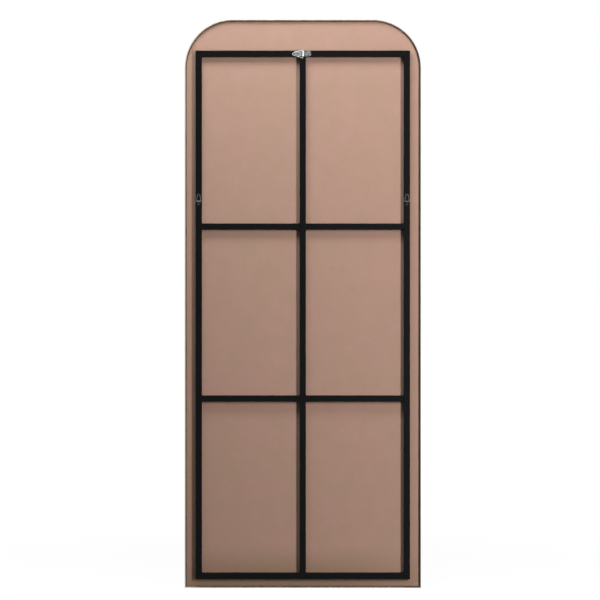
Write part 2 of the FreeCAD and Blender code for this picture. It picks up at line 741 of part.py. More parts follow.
def make_saddle():
    """Plate, ring and screws in the middle of the top rail; the ring lies folded towards +X."""
    make_saddle_plate()
    ring = make_ring(
        "saddle_ring",
        "Sizes.saddle_width + Sizes.saddle_ring_play",
        "Sizes.saddle_ring_bend_radius",
        "Sizes.saddle_ring_apex_radius",
        "Sizes.saddle_ring_reach",
        "Sizes.saddle_ring_wire",
        "Sizes.ring_split",
    )
    ring.Placement.Rotation = FreeCAD.Rotation(FreeCAD.Vector(0, 1, 0), QUARTER_TURN)
    place(ring, y=f"{RAIL_BACK} + {SADDLE_AXIS_LIFT}", z=f"{TOP_RAIL_Z} - {SADDLE_RING_DROP}")
    seat = f"{RAIL_BACK} + Sizes.saddle_sheet"
    span = "2 * Sizes.saddle_hole_offset"
    make_pan_screws("saddle_screws", "-Sizes.saddle_hole_offset", seat, TOP_RAIL_Z, span)


def write_pieces():
    """Check every object and write each piece under its label."""
    doc.recompute()
    for item in doc.Objects:
        if {"Invalid", "Error"} & set(item.State):
            raise RuntimeError(f"{item.Label} failed to build")
    for body in pieces:
        shape = body.Shape
        if shape.isNull() or not shape.isValid() or not shape.Solids:
            raise RuntimeError(f"{body.Label} has no valid solid")
    os.makedirs("parts", exist_ok=True)
    for body in pieces:
        body.Shape.exportStep(f"parts/{body.Label}.step")


make_frame("frame_hoop", hoop_outline)
make_frame("frame_sill", sill_outline)
make_glazing_tape()
make_glass()
make_bonding_tape()
make_setting_blocks()
make_board()
make_side_rail("side_rail_left", -1)
make_side_rail("side_rail_right", 1)
make_top_rail()
make_end_rail("bottom_rail", -1, BOTTOM_RAIL_Z)
make_centre_rail()
make_cross_rails()
make_rail_screws()
make_hanger("left", -1)
make_hanger("right", 1)
make_saddle()
write_pieces()
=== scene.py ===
import json
import math

import bmesh
import bpy
from bpy.props import FloatProperty, FloatVectorProperty, IntProperty, PointerProperty
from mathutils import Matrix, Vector


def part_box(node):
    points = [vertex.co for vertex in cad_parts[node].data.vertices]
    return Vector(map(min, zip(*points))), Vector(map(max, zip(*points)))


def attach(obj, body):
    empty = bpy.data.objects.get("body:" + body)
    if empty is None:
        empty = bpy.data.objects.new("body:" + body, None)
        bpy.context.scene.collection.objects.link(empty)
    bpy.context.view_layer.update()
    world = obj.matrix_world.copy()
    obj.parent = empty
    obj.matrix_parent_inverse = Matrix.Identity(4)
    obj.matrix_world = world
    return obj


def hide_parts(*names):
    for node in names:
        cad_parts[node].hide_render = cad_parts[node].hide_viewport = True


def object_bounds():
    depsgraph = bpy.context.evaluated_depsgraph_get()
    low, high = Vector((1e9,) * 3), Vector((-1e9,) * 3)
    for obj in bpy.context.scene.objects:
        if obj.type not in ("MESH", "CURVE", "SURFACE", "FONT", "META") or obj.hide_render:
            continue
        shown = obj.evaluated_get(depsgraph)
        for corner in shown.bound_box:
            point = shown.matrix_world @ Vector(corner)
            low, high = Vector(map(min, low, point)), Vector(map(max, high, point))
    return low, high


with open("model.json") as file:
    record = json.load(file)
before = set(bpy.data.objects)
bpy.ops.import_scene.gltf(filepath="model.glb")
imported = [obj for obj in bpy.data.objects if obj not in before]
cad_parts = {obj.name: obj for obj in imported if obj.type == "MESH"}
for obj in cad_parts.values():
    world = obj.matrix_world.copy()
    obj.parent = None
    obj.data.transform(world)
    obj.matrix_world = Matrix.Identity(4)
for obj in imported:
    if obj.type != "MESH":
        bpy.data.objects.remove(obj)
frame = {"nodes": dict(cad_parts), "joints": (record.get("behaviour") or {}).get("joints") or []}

bl_info = {
    "name": "Full-Length Mirror",
    "version": (1, 0, 0),
    "blender": (4, 5, 0),
    "location": "View3D > Sidebar > Mirror",
    "description": "Dresses a full-length mirror with a board back, a tube grid and ring hangers",
    "category": "Object",
}

CAD_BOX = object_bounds()
NODES = frame["nodes"]
UPRIGHT_NODES = ("side_rail_left", "side_rail_right", "centre_rail")
CROSS_NODES = (
    "cross_rail_upper_left",
    "cross_rail_upper_right",
    "cross_rail_lower_left",
    "cross_rail_lower_right",
)
END_RAIL_NODES = ("top_rail", "bottom_rail")
STRAP_NODES = ("hanger_strap_left", "hanger_strap_right")
SIDE_RING_NODES = ("hanger_ring_left", "hanger_ring_right")
TAPE_NODES = ("glazing_tape", "bonding_tape")
FIXED_BODY = "mirror"
LAMPS = ("key", "top", "side")
BLACK = (0.0, 0.0, 0.0)
WHITE = (1.0, 1.0, 1.0)
NEAR = 0.00001

# Turn of the cross in each screw's head, in radians
SCREW_TURNS = {"hanger_screw_left": (0.35,), "hanger_screw_right": (0.95,), "saddle_screws": (0.6, 0.15)}

# Angles in degrees up to which a piece is shaded smooth, and under which its faces count as one
FRAME_CREASE = 40.0
BEAD_CREASE = 60.0
SCREW_CREASE = 35.0
FLAT_CREASE = 1.0

# Where a shade of the room begins and is full, as shares of the way up, aside, behind or ahead
OVERHEAD = (0.25, 0.95)
OVER_WALL = (0.0, 0.34)
ASIDE = (0.10, 0.90)
BEHIND = (0.70, 0.97)
AHEAD = (0.15, 0.60)


def length(name, description, metres):
    """A size that a user can change, in metres."""
    return FloatProperty(name=name, description=description, default=metres, unit="LENGTH", precision=5)


def colour(name, description, red, green, blue):
    """A colour that a user can change, as linear light."""
    return FloatVectorProperty(
        name=name, description=description, default=(red, green, blue), subtype="COLOR", min=0, max=1
    )


def point(name, description, x, y, z):
    """A place that a user can change, in metres."""
    return FloatVectorProperty(
        name=name, description=description, default=(x, y, z), subtype="TRANSLATION", unit="LENGTH"
    )


def spread(name, description, width, height):
    """A width and a height that a user can change, in metres."""
    return FloatVectorProperty(
        name=name, description=description, default=(width, height), size=2, unit="LENGTH", min=0
    )


def power(name, description, watts):
    """A lamp's power that a user can change, in watts."""
    return FloatProperty(name=name, description=description, default=watts, unit="POWER", min=0)


def pixels(name, description, count):
    """A width in the picture that a user can change, in pixels."""
    return FloatProperty(name=name, description=description, default=count, subtype="PIXEL", min=1)


def number(name, description, count, least):
    """A whole number that a user can change."""
    return IntProperty(name=name, description=description, default=count, min=least)


def angle(name, description, radians):
    """An angle that a user can change, in radians."""
    return FloatProperty(name=name, description=description, default=radians, subtype="ANGLE")


def share(name, description, amount):
    """A number from zero to one that a user can change."""
    return FloatProperty(name=name, description=description, default=amount, subtype="FACTOR", min=0, max=1)


class MirrorSizes(bpy.types.PropertyGroup):
    """Sizes of the pieces that are modelled here"""

    corner_radius: length("Corner radius", "Outer radius of the frame's two bends", 0.139)
    corner_steps: number("Corner steps", "Steps round each bend", 48, 8)
    frame_wall: length("Frame wall", "Thickness of the frame's wall", 0.003)
    lip_width: length("Lip width", "Width of the lip in front of the glass", 0.010)
    lip_thickness: length("Lip thickness", "Thickness of the lip in front of the glass", 0.003)
    front_round: length("Front round", "Rounding of the frame's outer front edge", 0.0008)
    round_steps: number("Round steps", "Steps round the outer front edge", 6, 1)
    back_chamfer: length("Back chamfer", "Chamfer of the frame's inner back edge", 0.002)
    edge_ease: length("Edge ease", "Easing of the frame's other edges", 0.00025)
    ease_steps: number("Ease steps", "Steps round each eased edge", 2, 1)
    bead_sides: number("Bead sides", "Sides of a weld bead before it is smoothed", 12, 6)
    bead_radius: length("Bead radius", "Radius of a weld bead", 0.0014)
    bead_sink: length("Bead sink", "How far a bead's middle stands off the two tubes it joins", 0.0004)
    bead_end_gap: length("Bead end gap", "Distance of a bead's ends from the tube's faces", 0.0009)
    bead_ripples: number("Ripples", "Ripples along a weld bead", 7, 2)
    bead_draw: share("Ripple draw", "How far a bead draws in between its ripples", 0.13)
    bead_sway: angle("Bead sway", "Step in a bead's wander from one ring of it to the next", 2.4)
    head_sides: number("Head sides", "Sides of a screw's head", 48, 12)
    head_height: length("Head height", "Height of a screw's head", 0.0022)
    head_dome: length("Head dome", "Rounding of a screw head's rim", 0.0012)
    dome_steps: number("Dome steps", "Steps round a screw head's rim", 7, 1)
    slot_span: length("Slot span", "Length of each arm of the cross recess, end to end", 0.0040)
    slot_width: length("Slot width", "Width of each arm of the cross recess", 0.00085)
    slot_depth: length("Slot depth", "Depth of the cross recess", 0.0015)
    slot_taper: share("Slot taper", "Size of the cross at its bottom against its top", 0.55)
    screw_core: length("Screw core", "Diameter of a screw's shank", 0.0033)
    screw_crest: length("Screw crest", "Diameter over a screw's thread", 0.0039)
    screw_pitch: length("Screw pitch", "Distance from thread to thread", 0.0013)
    screw_neck: length("Screw neck", "Plain shank under a screw's head", 0.000475)
    screw_tip: length("Screw tip", "Length of a screw's point", 0.0019)
    tip_share: share("Tip share", "Size of a screw's point at its end against its shank", 0.12)


class MirrorFinishes(bpy.types.PropertyGroup):
    """Colours of the finishes, how far the wear in them reaches, and where painted shade and highlights lie
    """

    board_tan: colour("Board tan", "Fibreboard's yellower fibres", 0.610, 0.392, 0.294)
    board_rose: colour("Board rose", "Fibreboard's redder fibres", 0.635, 0.382, 0.308)
    board_fleck: colour("Board fleck", "Dark bark flecks in the fibreboard", 0.26, 0.15, 0.095)
    board_pale: colour("Board pale", "Loose fibres that catch the light", 0.78, 0.60, 0.48)
    # Painted shade on the board: darker towards the floor, and in the margin between the rail and the frame
    # on the +X side
    board_painted_shade: colour("Board soil", "Dust on the board, low down and on one side", 0.165, 0.125, 0.036)
    low_shade_start: length("Soil start", "Height over the floor where the soil begins", 0.130)
    low_shade_full: length("Soil full", "Height over the floor where the soil is full", 0.025)
    low_shade_thin: length("Soil thin", "Place across the board where the low soil is thinnest", -0.36)
    low_shade_thick: length("Soil thick", "Place across the board where the low soil is thickest", -0.08)
    side_shade_start: length("Side soil start", "Place across the board where the side soil begins", 0.306)
    side_shade_full: length("Side soil full", "Place across the board where the side soil is full", 0.318)
    side_shade_top: length("Side soil top", "Height over the floor where side soil begins to thicken", 0.70)
    side_shade_foot: length("Side soil foot", "Height over the floor where side soil is thickest", 0.10)
    rail_coat: colour("Rail coat", "Satin black coating of the tubes", 0.0036, 0.0037, 0.0041)
    rail_rub: colour("Rail rub", "Coating rubbed thin along the tubes' corners", 0.020, 0.0195, 0.019)
    rail_dust: colour("Rail dust", "Specks of dust on the coating", 0.16, 0.15, 0.14)
    bronze: colour("Bronze", "Antique bronze of the frame", 0.425, 0.316, 0.224)
    bronze_dark: colour("Dark bronze", "Patina in the bronze", 0.265, 0.194, 0.132)
    # Bright bronze marks rubbed edges and is also a painted highlight on the back edge of the +X side; the
    # dark colour below is painted shade on the back edge of the -X side, and the depths and distances after
    # it place these two
    bronze_rub_and_highlight: colour("Bright bronze", "Bronze rubbed bright along its edges", 0.72, 0.60, 0.47)
    rub_start: length("Rub start", "Distance from the frame's edges where rubbing begins", 0.0011)
    rub_full: length("Rub full", "Distance from the frame's edges where rubbing is full", 0.0002)
    rim_shade_paint: colour("Tarnish", "Tarnish on the back edge of the frame", 0.030, 0.019, 0.011)
    rear_paint_start: length("Rear start", "Depth at which the back edge's wear begins", 0.0024)
    rear_paint_full: length("Rear full", "Depth at which the back edge's wear is full", 0.0016)
    flank_paint_start: length("Flank start", "Distance from the frame's sides where that wear begins", 0.083)
    flank_paint_full: length("Flank full", "Distance from the frame's sides where that wear is full", 0.008)
    mitre_line: colour("Mitre line", "Dark line where hoop and sill meet", 0.02, 0.015, 0.011)
    mitre_start: length("Mitre start", "Distance from a mitre where its line begins", 0.0003)
    mitre_full: length("Mitre full", "Distance from a mitre where its line is full", 0.0001)
    mitre_top: length("Mitre top", "Height over the floor where the line ends", 0.021)
    mitre_fade: length("Mitre fade", "Height over the floor where the line begins to fade", 0.019)
    silver: colour("Silver", "Reflection of the silvered glass", 0.86, 0.89, 0.88)
    glass_edge: colour("Glass edge", "Ground edge of the glass", 0.24, 0.38, 0.33)
    back_paint: colour("Back paint", "Protective paint on the back of the glass", 0.16, 0.18, 0.18)
    paint_dust: colour("Paint dust", "Pale specks in the paint on the glass", 0.30, 0.32, 0.31)
    nickel: colour("Nickel", "Dull plating of the side hangers' rings", 0.155, 0.155, 0.157)
    blacking: colour("Blacking", "Blackened steel of the side hangers' straps", 0.030, 0.029, 0.028)
    worn: colour("Worn screws", "Blackened screw heads rubbed by the driver", 0.085, 0.083, 0.080)
    zinc: colour("Zinc", "Bright plating of the saddle and its screws", 0.335, 0.354, 0.363)
    wire: colour("Wire", "Bright plating of the saddle's ring", 0.59, 0.61, 0.62)
    # This colour is plating rubbed by a swinging ring, and also a painted highlight down the saddle's fold
    # and painted light on one of its wings
    polish_and_highlight: colour("Polish", "Plating rubbed bright by a ring's wire", 0.93, 0.94, 0.95)
    foam: colour("Foam", "Foam tape", 0.70, 0.70, 0.67)
    foam_aged: colour("Aged foam", "Foam tape that has yellowed", 0.644, 0.616, 0.4958)
    rubber: colour("Rubber", "Setting blocks", 0.022, 0.022, 0.023)
    rubber_bloom: colour("Rubber bloom", "Dusty bloom on the setting blocks", 0.09, 0.09, 0.088)


class MirrorStage(bpy.types.PropertyGroup):
    """Camera, lights and floor"""

    camera_distance: length("Camera distance", "From the middle of the frame to the camera", 6.5)
    camera_height: length("Camera height", "Height of the camera over the floor", 0.8366)
    camera_aside: length("Camera aside", "Sideways place of the camera", 0.0081)
    frame_pixels: pixels("Frame width", "Width of the mirror in the picture", 236.0)
    picture_pixels: pixels("Picture width", "Width of the square picture", 600.0)
    key_place: point("Key place", "Middle of the tall lamp at the side", -1.9, 3.1, 1.20)
    key_target: point("Key target", "Point that the tall lamp faces", -2.5, 0.0, 0.9)
    key_spread: spread("Key size", "Width and height of the tall lamp", 0.7, 1.8)
    key_tint: colour("Key tint", "Colour of the tall lamp at the side", 1.0, 0.985, 0.975)
    key_power: power("Key power", "Power of the tall lamp at the side", 96.0)
    top_place: point("Top place", "Middle of the lamp over the mirror", 0.28, 0.85, 2.55)
    top_target: point("Top target", "Point that the lamp over the mirror faces", 0.0, 0.0, 1.6)
    top_spread: spread("Top size", "Width and height of the lamp over the mirror", 0.9, 0.7)
    top_tint: colour("Top tint", "Colour of the lamp over the mirror", 0.945, 1.0, 1.0)
    top_power: power("Top power", "Power of the lamp over the mirror", 16.3)
    side_place: point("Side place", "Middle of the weak lamp opposite", 1.3, 0.95, 1.1)
    side_target: point("Side target", "Point that the weak lamp faces", 0.0, 0.0, 1.0)
    side_spread: spread("Side size", "Width and height of the weak lamp", 0.9, 2.0)
    side_tint: colour("Side tint", "Colour of the weak lamp opposite", 1.0, 0.93, 0.78)
    side_power: power("Side power", "Power of the weak lamp opposite", 1.1)
    fill: share("Fill", "Even light from all round", 0.07)
    dark_above: share("Dark above", "How much darker the room is overhead", 0.45)
    dark_aside: share("Dark aside", "How much darker metal sees the room away from the key lamp", 0.75)
    dark_ahead: share("Dark ahead", "How much darker the mirror sees the room in front of it", 0.46)
    dark_floor: share("Dark floor", "How much darker the mirror sees the far floor in front of it", 0.477)
    dark_behind: share("Dark behind", "How much darker metal sees the room behind the camera", 0.72)
    floor_pale: share("Floor", "Paleness of the floor under the lamps", 0.10)
    floor_near: share("Floor glow near", "Brightness that the floor adds close to the mirror", 0.945)
    glow_start: length("Glow start", "Distance from the mirror where the floor begins to brighten", 0.8)
    glow_full: length("Glow full", "Distance from the mirror where the floor is brightest", 3.0)
    dark_floor_start: length("Dark floor start", "Distance ahead where the far floor begins", 0.2)
    dark_floor_full: length("Dark floor full", "Distance ahead where the far floor is darkest", 5.0)
    floor_shine: FloatProperty(name="Floor shine", description="Strength of the floor's glow", default=1.02)
    floor_size: length("Floor size", "Length of each side of the floor", 60.0)


class Signal:
    """A shader socket that joins in Python sums, each step of which adds one Math node"""

    def __init__(self, finish, socket):
        self.finish = finish
        self.socket = socket

    def math(self, operation, *others):
        """A Math node on one or two values."""
        values = dict(zip(("Value", "Value_001"), others))
        return self.finish.signal("ShaderNodeMath", {"operation": operation}, values)

    def __add__(self, other):
        return self.math("ADD", self, other)

    def __sub__(self, other):
        return self.math("SUBTRACT", self, other)

    def __rsub__(self, other):
        return self.math("SUBTRACT", other, self)

    def __mul__(self, other):
        return self.math("MULTIPLY", self, other)

    def __abs__(self):
        return self.math("ABSOLUTE", self)

    def larger(self, other):
        return self.math("MAXIMUM", self, other)

    def ramp(self, low, high):
        """Zero up to low, one from high and smooth between; the other way round if low is the larger."""
        settings = {"interpolation_type": "SMOOTHSTEP"}
        turned = low > high
        values = {"Value": self, "From Min": min(low, high), "From Max": max(low, high)}
        eased = self.finish.signal("ShaderNodeMapRange", settings, values, "Result")
        return 1 - eased if turned else eased

    __radd__ = __add__
    __rmul__ = __mul__


class Finish:
    """A node tree that is filled by short expressions"""

    def __init__(self, tree):
        self.tree = tree
        self.tree.nodes.clear()

    def node(self, kind, settings=None, sockets=None):
        """A node of a kind, its settings set first and then its sockets set or linked."""
        node = self.tree.nodes.new(kind)
        for name, value in (settings or {}).items():
            setattr(node, name, value)
        inputs = {socket.identifier: socket for socket in node.inputs}
        for name, value in (sockets or {}).items():
            if isinstance(value, Signal):
                self.tree.links.new(value.socket, inputs[name])
            else:
                inputs[name].default_value = value
        return node

    def signal(self, kind, settings=None, sockets=None, output="Value"):
        """One output of a new node."""
        node = self.node(kind, settings, sockets)
        return Signal(self, next(socket for socket in node.outputs if socket.identifier == output))

    def place(self):
        """Place on the piece, in metres."""
        return self.signal("ShaderNodeTexCoord", None, None, "Object")

    def parts(self, vector):
        """The X, Y and Z of a vector."""
        node = self.node("ShaderNodeSeparateXYZ", None, {"Vector": vector})
        return [Signal(self, socket) for socket in node.outputs]

    def facing(self):
        """How far the surface faces along X, Y and Z."""
        return self.parts(self.signal("ShaderNodeTexCoord", None, None, "Normal"))

    def stretched(self, stretch):
        """Place on the piece, drawn out along its axes."""
        return self.signal("ShaderNodeMapping", None, {"Vector": self.place(), "Scale": stretch}, "Vector")

    def noise(self, scale, detail=3.0, roughness=0.55, vector=None):
        """Soft noise, from about zero to one, with scale features to the metre."""
        sockets = {"Vector": vector or self.place(), "Scale": scale, "Detail": detail, "Roughness": roughness}
        return self.signal("ShaderNodeTexNoise", None, sockets, "Fac")

    def cells(self, scale, vector=None):
        """Distance from the nearest of scattered points, with scale points to the metre."""
        sockets = {"Vector": vector or self.place(), "Scale": scale}
        return self.signal("ShaderNodeTexVoronoi", None, sockets, "Distance")

    def mix(self, factor, first, second):
        """A colour between two others."""
        sockets = {"Factor_Float": factor}
        for name, value in (("A_Color", first), ("B_Color", second)):
            sockets[name] = value if isinstance(value, Signal) else (*value, 1.0)
        return self.signal("ShaderNodeMix", {"data_type": "RGBA"}, sockets, "Result_Color")

    def bump(self, height, strength, distance):
        """A normal that follows a height."""
        sockets = {"Height": height, "Strength": strength, "Distance": distance}
        return self.signal("ShaderNodeBump", None, sockets, "Normal")

    def corners(self):
        """One along rounded corners, where the surface faces between two axes, and zero on flat faces."""
        x, y, z = (abs(part) for part in self.facing())
        return (1 - x.larger(y).larger(z)).ramp(0.02, 0.16)

    def surface(self, sockets):
        """The finished surface."""
        shader = self.signal("ShaderNodeBsdfPrincipled", None, sockets, "BSDF")
        self.node("ShaderNodeOutputMaterial", None, {"Surface": shader})


def new_material(name):
    """An empty material with a node tree; gives both."""
    material = bpy.data.materials.new(name)
    material.use_nodes = True
    return material, Finish(material.node_tree)


def fibreboard(finishes):
    """Bare fibreboard: felted fibres in two tans, bark flecks, fuzzy edges, and painted shade low down and in
    the margin on one side.
    """
    material, finish = new_material("fibreboard")
    blotch = finish.noise(19.0, 4.0, 0.6)
    drift = finish.noise(4.5, 2.0)
    level_fibres = finish.noise(1.0, 4.0, 0.65, finish.stretched((420.0, 900.0, 1900.0)))
    upright_fibres = finish.noise(1.0, 4.0, 0.65, finish.stretched((1900.0, 900.0, 420.0)))
    fibres = level_fibres.larger(upright_fibres)
    flecks = finish.cells(260.0, finish.stretched((1.0, 1.0, 0.55))).ramp(0.16, 0.05)
    flecks = flecks * finish.noise(60.0, 2.0).ramp(0.5, 0.66)
    tone = (blotch * 0.65 + drift * 0.45).ramp(0.40, 0.68)
    felt = finish.mix(tone, finishes.board_tan, finishes.board_rose)
    shade = (fibres - 0.56) * 0.42 + (blotch - 0.5) * 0.10
    dark = finish.mix(shade.ramp(0.10, -0.10) * 0.22, felt, finishes.board_fleck)
    light = finish.mix(shade.ramp(-0.02, 0.14) * 0.13, dark, finishes.board_pale)
    flecked = finish.mix(flecks * 0.30, light, finishes.board_fleck)
    # Painted shade: darker towards the floor and thinner towards -X, and in the margin beside the rail on the
    # +X side, deeper lower down
    beside, _, above = finish.parts(finish.place())
    low_shade = above.ramp(finishes.low_shade_start, finishes.low_shade_full)
    low_shade = low_shade * (0.35 + beside.ramp(finishes.low_shade_thin, finishes.low_shade_thick) * 0.65)
    side_shade = beside.ramp(finishes.side_shade_start, finishes.side_shade_full)
    side_shade = side_shade * (0.42 + above.ramp(finishes.side_shade_top, finishes.side_shade_foot) * 0.18)
    painted_shade = low_shade.larger(side_shade) * (0.30 + blotch * 0.20)
    with_painted_shade = finish.mix(painted_shade, flecked, finishes.board_painted_shade)
    _, facing, _ = finish.facing()
    sawn = abs(facing).ramp(0.6, 0.4)
    height = fibres * 0.7 + finish.noise(2600.0, 2.0) * 0.3
    finish.surface({
        "Base Color": finish.mix(sawn * 0.55, with_painted_shade, finishes.board_fleck),
        "Roughness": 0.80 + fibres * 0.14 + sawn * 0.05,
        "Specular IOR Level": 0.22,
        "Normal": finish.bump(height, 0.35, 0.0003),
    })
    return material


def powder_coat(finishes):
    """Satin black powder coat: fine orange peel, corners rubbed a little paler."""
    material, finish = new_material("satin_black_coat")
    peel = finish.noise(750.0, 2.0, 0.4)
    cloud = finish.noise(14.0, 3.0)
    dust = finish.cells(900.0).ramp(0.10, 0.03) * finish.noise(45.0, 2.0).ramp(0.55, 0.75)
    rub = finish.corners() * finish.noise(95.0, 4.0, 0.7).ramp(0.38, 0.66)
    coat = finish.mix(rub * 0.7, finishes.rail_coat, finishes.rail_rub)
    finish.surface({
        "Base Color": finish.mix(dust * 0.10, coat, finishes.rail_dust),
        "Roughness": 0.40 + cloud * 0.14 + dust * 0.2 - rub * 0.08,
        "Specular IOR Level": 0.08,
        "Normal": finish.bump(peel, 0.12, 0.0004),
    })
    return material


def antique_bronze(finishes):
    """Brushed bronze: brown patina, edges rubbed bright, a painted highlight and painted shade on the back
    edges, and a dark line at each mitre.
    """
    material, finish = new_material("antique_bronze")
    low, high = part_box("frame_hoop")
    half_width = (high.x - low.x) / 2
    x, y, z = finish.parts(finish.place())
    grain = finish.noise(1.0, 5.0, 0.6, finish.stretched((700.0, 2600.0, 180.0)))
    patina = (finish.noise(26.0, 5.0, 0.65) * 0.7 + finish.noise(160.0, 3.0) * 0.3).ramp(0.36, 0.66)
    edge = (high.y - abs(y)).ramp(finishes.rub_start, finishes.rub_full).larger(finish.corners())
    worn = edge * finish.noise(130.0, 4.0, 0.7).ramp(0.36, 0.62)
    # Painted light on the back edges: a painted highlight on the +X side and painted shade on the -X side
    rear = (high.y - y).ramp(finishes.rear_paint_start, finishes.rear_paint_full)
    rim_highlight = rear * (high.x - x).ramp(finishes.flank_paint_start, finishes.flank_paint_full) * 0.9
    rim_shade_paint = rear * (x - low.x).ramp(finishes.flank_paint_start, finishes.flank_paint_full) * 0.8
    line = abs(half_width - abs(x) - z).ramp(finishes.mitre_start, finishes.mitre_full)
    mitre = line * z.ramp(finishes.mitre_top, finishes.mitre_fade)
    body = finish.mix(patina * 0.75, finishes.bronze_dark, finishes.bronze)
    rubbed = finish.mix((worn * 0.55).larger(rim_highlight), body, finishes.bronze_rub_and_highlight)
    rim_shaded = finish.mix(rim_shade_paint, rubbed, finishes.rim_shade_paint)
    finish.surface({
        "Base Color": finish.mix(mitre * 0.8, rim_shaded, finishes.mitre_line),
        "Metallic": 0.35 - mitre * 0.3,
        "Roughness": 0.42 + (1 - patina) * 0.14 + grain * 0.10 - worn * 0.10,
        "Normal": finish.bump(grain + patina * 0.3 - mitre * 2.0, 0.18, 0.0002),
    })
    return material


def silvered_glass(finishes):
    """Mirror: silver seen through the front, ground green edges, painted back."""
    material, finish = new_material("silvered_glass")
    _, facing, _ = finish.facing()
    ground = abs(facing).ramp(0.985, 0.90)
    back = facing.ramp(0.90, 0.985)
    haze = finish.noise(7.0, 4.0, 0.6).ramp(0.45, 0.80)
    grit = finish.noise(1500.0, 3.0)
    paint = finish.noise(300.0, 4.0)
    edged = finish.mix(ground, finishes.silver, finishes.glass_edge)
    painted = finish.mix(back, edged, finishes.back_paint)
    finish.surface({
        "Base Color": finish.mix(back * paint * 0.25, painted, finishes.paint_dust),
        "Metallic": (1 - ground) * (1 - back),
        "Roughness": 0.012 + haze * 0.014 + ground * (0.30 + grit * 0.15) + back * (0.50 + paint * 0.1),
        "Coat Weight": (1 - back) * 0.6,
        "Coat Roughness": 0.02,
        "Normal": finish.bump(grit * ground + paint * back, 0.12, 0.0002),
    })
    return material


def polish_and_highlight_strip(finish, axis, middle, reach, polished, painted_light_wing=0.0):
    """Plating made brighter on a strip about a ring's pivot and on one side of it: polish where a ring
    swings, and on the saddle a painted highlight down its fold and painted light on one wing.
    """
    along = finish.parts(finish.place())["XYZ".index(axis)] - middle
    strip = abs(along).ramp(reach, reach * 0.7) * polished
    return strip.larger(along.ramp(reach * 0.7, reach * 1.4) * painted_light_wing)


def plated_steel(name, finishes, tint, spangle, brushed, dull, strip=None):
    """Plated sheet and wire: spangle, drawing lines, bright corners and a strip of polish about a ring's
    pivot, which on the saddle is a painted highlight and painted light.
    """
    material, finish = new_material(name)
    tints = finish.signal("ShaderNodeTexVoronoi", None, {"Vector": finish.place(), "Scale": 420.0}, "Color")
    crystal, _, _ = finish.parts(tints)
    lines = finish.noise(1.0, 4.0, 0.6, finish.stretched((900.0, 5200.0, 5200.0)))
    stain = finish.noise(240.0, 4.0, 0.65).ramp(0.40, 0.70)
    rub = finish.corners() * finish.noise(420.0, 3.0).ramp(0.35, 0.65)
    shade = crystal * spangle + lines * brushed + stain * 0.28
    dark = tuple(part * 0.30 for part in tint)
    bright = tuple(min(1.0, part * 1.55) for part in tint)
    plated = finish.mix(rub * 0.5, finish.mix(shade.ramp(0.15, 0.75), dark, tint), bright)
    rough = dull + crystal * 0.08 + (1 - stain) * 0.10 - rub * 0.06
    if strip:
        # Brightening that is polish on the side hangers, and a painted highlight and painted light on the
        # saddle
        polish_and_highlight = polish_and_highlight_strip(finish, **strip)
        plated = finish.mix(polish_and_highlight, plated, finishes.polish_and_highlight)
        rough = rough - polish_and_highlight * 0.06
    finish.surface({
        "Base Color": plated,
        "Metallic": 0.95,
        "Roughness": rough,
        "Normal": finish.bump(lines * 0.6 + crystal * 0.4, 0.10, 0.0001),
    })
    return material


def foam_tape(finishes):
    """Closed-cell foam tape."""
    material, finish = new_material("foam_tape")
    bubbles = finish.cells(1400.0)
    age = finish.noise(40.0, 3.0)
    finish.surface({
        "Base Color": finish.mix(age.ramp(0.40, 0.70) * 0.5, finishes.foam, finishes.foam_aged),
        "Roughness": 0.82 + bubbles * 0.12,
        "Specular IOR Level": 0.2,
        "Normal": finish.bump(bubbles, 0.4, 0.0003),
    })
    return material


def block_rubber(finishes):
    """Moulded rubber with a dusty bloom."""
    material, finish = new_material("block_rubber")
    grain = finish.noise(1800.0, 3.0)
    bloom = finish.noise(70.0, 4.0).ramp(0.48, 0.75)
    finish.surface({
        "Base Color": finish.mix(bloom * 0.3, finishes.rubber, finishes.rubber_bloom),
        "Roughness": 0.66 + bloom * 0.2,
        "Specular IOR Level": 0.3,
        "Normal": finish.bump(grain, 0.25, 0.0002),
    })
    return material


def dress(names, material):
    """Give carried-over pieces a finish."""
    for name in names:
        NODES[name].data.materials.clear()
        NODES[name].data.materials.append(material)


def deselect():
    """Leave nothing selected, so that a new piece is shaped alone."""
    bpy.ops.object.select_all(action="DESELECT")


def near(first, second):
    """Whether two places along an axis are the same."""
    return abs(first - second) < NEAR


def pick(piece, wanted):
    """Select the vertices of a piece in edit mode that a test on their place picks out."""
    mesh = bmesh.from_edit_mesh(piece.data)
    bpy.ops.mesh.select_all(action="DESELECT")
    for vertex in mesh.verts:
        vertex.select = wanted(vertex.co)
    mesh.select_flush(True)
    bmesh.update_edit_mesh(piece.data)


def pick_edges(piece, wanted):
    """Select the edges of a piece in edit mode that a test on their two ends picks out."""
    mesh = bmesh.from_edit_mesh(piece.data)
    bpy.ops.mesh.select_all(action="DESELECT")
    bpy.ops.mesh.select_mode(type="EDGE")
    for edge in mesh.edges:
        edge.select_set(wanted(*(vertex.co for vertex in edge.verts)))
    bmesh.update_edit_mesh(piece.data)


def edit(piece):
    """Go into edit mode on a piece, ready to pick vertices."""
    bpy.context.view_layer.objects.active = piece
    bpy.ops.object.mode_set(mode="EDIT")
    bpy.ops.mesh.select_mode(type="VERT")


def leave_edit():
    """Back to object mode with all faces pointing outwards."""
    bpy.ops.mesh.select_all(action="SELECT")
    bpy.ops.mesh.normals_make_consistent(inside=False)
    bpy.ops.object.mode_set(mode="OBJECT")


def apply_modifier(piece, kind, **settings):
    """Add a modifier to a piece and apply it."""
    bpy.context.view_layer.objects.active = piece
    modifier = piece.modifiers.new(kind.title(), kind)
    for name, value in settings.items():
        setattr(modifier, name, value)
    bpy.ops.object.modifier_apply(modifier=modifier.name)


